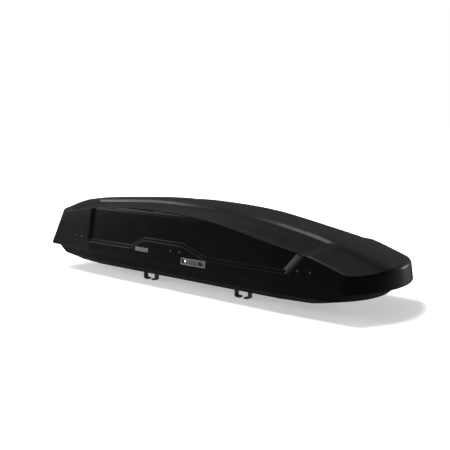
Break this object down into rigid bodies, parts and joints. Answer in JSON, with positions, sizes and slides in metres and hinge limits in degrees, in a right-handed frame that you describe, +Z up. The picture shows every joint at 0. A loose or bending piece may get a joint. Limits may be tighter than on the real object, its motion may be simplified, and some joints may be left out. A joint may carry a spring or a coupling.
{
  "type": "roof box",
  "caption": "Long, low hard-shell roof box with a lid hinged on both long sides, lock slides, lifter arms and sliding clamps that grip roof bars.",
  "frame": {"origin": "on the ground under the middle of the box, level with the feet of the clamp claws", "axes": "+X to the nose, +Y to the box's left side, +Z up"},
  "size_m": [2.3498, 0.7, 0.4675],
  "materials": {
    "lid_plastic": "fine grained, matt black",
    "base_plastic": "matt black",
    "trim_rubber": "matt",
    "stiffener": "matt dark grey",
    "plated_steel": "zinc plated, satin",
    "pin_steel": "bright",
    "arm_aluminium": "satin",
    "rivet_black": "satin black",
    "grip_plastic": "fine grained, dark grey",
    "lock_metal": "polished",
    "badge_plastic": "smooth, blank",
    "webbing": "woven, black",
    "claw_coat": "soft black coating over steel"
  },
  "bodies": {
    "base": {"base_shell": "base_plastic", "base_rim_trim": "trim_rubber", "rail_left": "plated_steel", "rail_right": "plated_steel", "rail_rivets": "pin_steel", "striker_brackets_left": "plated_steel", "striker_brackets_right": "plated_steel", "striker_pins_left": "pin_steel", "striker_pins_right": "pin_steel", "lifter_brackets_base": "plated_steel", "load_strap_front": "webbing", "load_strap_rear": "webbing", "strap_buckle_front": "grip_plastic", "strap_buckle_rear": "grip_plastic"},
    "carrier_arms": {"lifter_arm_front_a": "arm_aluminium", "lifter_arm_rear_a": "arm_aluminium"},
    "follower_arms": {"lifter_arm_front_b": "arm_aluminium", "lifter_arm_rear_b": "arm_aluminium"},
    "lid": {"lid_shell": "lid_plastic", "lid_rivets": "rivet_black", "lid_rib_front": "stiffener", "lid_rib_middle": "stiffener", "lid_rib_rear": "stiffener", "lid_nose_block": "stiffener", "lifter_brackets_lid": "plated_steel", "lock_cup_left": "grip_plastic", "lock_cup_right": "grip_plastic", "badge_left": "badge_plastic", "badge_right": "badge_plastic", "hinge_unit_front_left": "plated_steel", "hinge_unit_front_right": "plated_steel", "hinge_unit_middle_left": "plated_steel", "hinge_unit_middle_right": "plated_steel", "hinge_unit_rear_left": "plated_steel", "hinge_unit_rear_right": "plated_steel"},
    "lock_slide_left": {"lock_rod_left": "pin_steel", "lock_eyes_left": "plated_steel", "lock_slider_left": "grip_plastic"},
    "key_barrel_left": {"lock_barrel_left": "lock_metal"},
    "lock_slide_right": {"lock_rod_right": "pin_steel", "lock_eyes_right": "plated_steel", "lock_slider_right": "grip_plastic"},
    "key_barrel_right": {"lock_barrel_right": "lock_metal"},
    "clamp_front_left_housing_body": {"clamp_front_left_housing": "base_plastic"},
    "clamp_front_left_knob_body": {"clamp_front_left_knob": "grip_plastic"},
    "clamp_front_left_claw_fore_body": {"clamp_front_left_claw_fore": "claw_coat"},
    "clamp_front_left_claw_aft_body": {"clamp_front_left_claw_aft": "claw_coat"},
    "clamp_front_right_housing_body": {"clamp_front_right_housing": "base_plastic"},
    "clamp_front_right_knob_body": {"clamp_front_right_knob": "grip_plastic"},
    "clamp_front_right_claw_fore_body": {"clamp_front_right_claw_fore": "claw_coat"},
    "clamp_front_right_claw_aft_body": {"clamp_front_right_claw_aft": "claw_coat"},
    "clamp_rear_left_housing_body": {"clamp_rear_left_housing": "base_plastic"},
    "clamp_rear_left_knob_body": {"clamp_rear_left_knob": "grip_plastic"},
    "clamp_rear_left_claw_fore_body": {"clamp_rear_left_claw_fore": "claw_coat"},
    "clamp_rear_left_claw_aft_body": {"clamp_rear_left_claw_aft": "claw_coat"},
    "clamp_rear_right_housing_body": {"clamp_rear_right_housing": "base_plastic"},
    "clamp_rear_right_knob_body": {"clamp_rear_right_knob": "grip_plastic"},
    "clamp_rear_right_claw_fore_body": {"clamp_rear_right_claw_fore": "claw_coat"},
    "clamp_rear_right_claw_aft_body": {"clamp_rear_right_claw_aft": "claw_coat"}
  },
  "joints": [
    {"name": "lid_opens_right", "type": "hinge", "parent": "base", "child": "carrier_arms", "pos_m": [0, 0.315, 0.172], "axis": [-1, 0, 0], "range_deg": [0, 50]},
    {"name": "lid_opens_left", "type": "hinge", "parent": "carrier_arms", "child": "lid", "pos_m": [0, -0.315, 0.172], "axis": [1, 0, 0], "range_deg": [0, 50]},
    {"name": "follower_arms_swing", "type": "hinge", "parent": "base", "child": "follower_arms", "pos_m": [0, -0.315, 0.172], "axis": [1, 0, 0], "range_deg": [0, 50]},
    {"name": "lock_slides_left", "type": "slide", "parent": "lid", "child": "lock_slide_left", "axis": [1, 0, 0], "range_m": [0, 0.02]},
    {"name": "key_turns_left", "type": "hinge", "parent": "lid", "child": "key_barrel_left", "pos_m": [0.064, 0.326, 0.186], "axis": [0, 1, 0], "range_deg": [0, 90]},
    {"name": "lock_slides_right", "type": "slide", "parent": "lid", "child": "lock_slide_right", "axis": [1, 0, 0], "range_m": [0, 0.02]},
    {"name": "key_turns_right", "type": "hinge", "parent": "lid", "child": "key_barrel_right", "pos_m": [0.064, -0.326, 0.186], "axis": [0, 1, 0], "range_deg": [0, 90]},
    {"name": "clamp_front_left_slides", "type": "slide", "parent": "base", "child": "clamp_front_left_housing_body", "axis": [1, 0, 0], "range_m": [-0.09, 0.09]},
    {"name": "clamp_front_left_knob_turns", "type": "hinge", "parent": "clamp_front_left_housing_body", "child": "clamp_front_left_knob_body", "pos_m": [0.35, 0.19, 0.109], "axis": [0, 0, 1], "range_deg": [0, 720]},
    {"name": "clamp_front_left_fore_claw_opens", "type": "hinge", "parent": "clamp_front_left_housing_body", "child": "clamp_front_left_claw_fore_body", "pos_m": [0.394, 0.19, 0.0736], "axis": [0, -1, 0], "range_deg": [0, 24]},
    {"name": "clamp_front_left_aft_claw_opens", "type": "hinge", "parent": "clamp_front_left_housing_body", "child": "clamp_front_left_claw_aft_body", "pos_m": [0.306, 0.19, 0.0736], "axis": [0, 1, 0], "range_deg": [0, 24]},
    {"name": "clamp_front_right_slides", "type": "slide", "parent": "base", "child": "clamp_front_right_housing_body", "axis": [1, 0, 0], "range_m": [-0.09, 0.09]},
    {"name": "clamp_front_right_knob_turns", "type": "hinge", "parent": "clamp_front_right_housing_body", "child": "clamp_front_right_knob_body", "pos_m": [0.35, -0.19, 0.109], "axis": [0, 0, 1], "range_deg": [0, 720]},
    {"name": "clamp_front_right_fore_claw_opens", "type": "hinge", "parent": "clamp_front_right_housing_body", "child": "clamp_front_right_claw_fore_body", "pos_m": [0.394, -0.19, 0.0736], "axis": [0, -1, 0], "range_deg": [0, 24]},
    {"name": "clamp_front_right_aft_claw_opens", "type": "hinge", "parent": "clamp_front_right_housing_body", "child": "clamp_front_right_claw_aft_body", "pos_m": [0.306, -0.19, 0.0736], "axis": [0, 1, 0], "range_deg": [0, 24]},
    {"name": "clamp_rear_left_slides", "type": "slide", "parent": "base", "child": "clamp_rear_left_housing_body", "axis": [1, 0, 0], "range_m": [-0.09, 0.09]},
    {"name": "clamp_rear_left_knob_turns", "type": "hinge", "parent": "clamp_rear_left_housing_body", "child": "clamp_rear_left_knob_body", "pos_m": [-0.35, 0.19, 0.109], "axis": [0, 0, 1], "range_deg": [0, 720]},
    {"name": "clamp_rear_left_fore_claw_opens", "type": "hinge", "parent": "clamp_rear_left_housing_body", "child": "clamp_rear_left_claw_fore_body", "pos_m": [-0.306, 0.19, 0.0736], "axis": [0, -1, 0], "range_deg": [0, 24]},
    {"name": "clamp_rear_left_aft_claw_opens", "type": "hinge", "parent": "clamp_rear_left_housing_body", "child": "clamp_rear_left_claw_aft_body", "pos_m": [-0.394, 0.19, 0.0736], "axis": [0, 1, 0], "range_deg": [0, 24]},
    {"name": "clamp_rear_right_slides", "type": "slide", "parent": "base", "child": "clamp_rear_right_housing_body", "axis": [1, 0, 0], "range_m": [-0.09, 0.09]},
    {"name": "clamp_rear_right_knob_turns", "type": "hinge", "parent": "clamp_rear_right_housing_body", "child": "clamp_rear_right_knob_body", "pos_m": [-0.35, -0.19, 0.109], "axis": [0, 0, 1], "range_deg": [0, 720]},
    {"name": "clamp_rear_right_fore_claw_opens", "type": "hinge", "parent": "clamp_rear_right_housing_body", "child": "clamp_rear_right_claw_fore_body", "pos_m": [-0.306, -0.19, 0.0736], "axis": [0, -1, 0], "range_deg": [0, 24]},
    {"name": "clamp_rear_right_aft_claw_opens", "type": "hinge", "parent": "clamp_rear_right_housing_body", "child": "clamp_rear_right_claw_aft_body", "pos_m": [-0.394, -0.19, 0.0736], "axis": [0, 1, 0], "range_deg": [0, 24]}
  ],
  "couplings": [
    {"joint": "follower_arms_swing", "follows": "lid_opens_left", "ratio": 1},
    {"joint": "clamp_front_left_fore_claw_opens", "follows": "clamp_front_left_knob_turns", "ratio": 0.033333},
    {"joint": "clamp_front_left_aft_claw_opens", "follows": "clamp_front_left_knob_turns", "ratio": 0.033333},
    {"joint": "clamp_front_right_fore_claw_opens", "follows": "clamp_front_right_knob_turns", "ratio": 0.033333},
    {"joint": "clamp_front_right_aft_claw_opens", "follows": "clamp_front_right_knob_turns", "ratio": 0.033333},
    {"joint": "clamp_rear_left_fore_claw_opens", "follows": "clamp_rear_left_knob_turns", "ratio": 0.033333},
    {"joint": "clamp_rear_left_aft_claw_opens", "follows": "clamp_rear_left_knob_turns", "ratio": 0.033333},
    {"joint": "clamp_rear_right_fore_claw_opens", "follows": "clamp_rear_right_knob_turns", "ratio": 0.033333},
    {"joint": "clamp_rear_right_aft_claw_opens", "follows": "clamp_rear_right_knob_turns", "ratio": 0.033333}
  ]
}
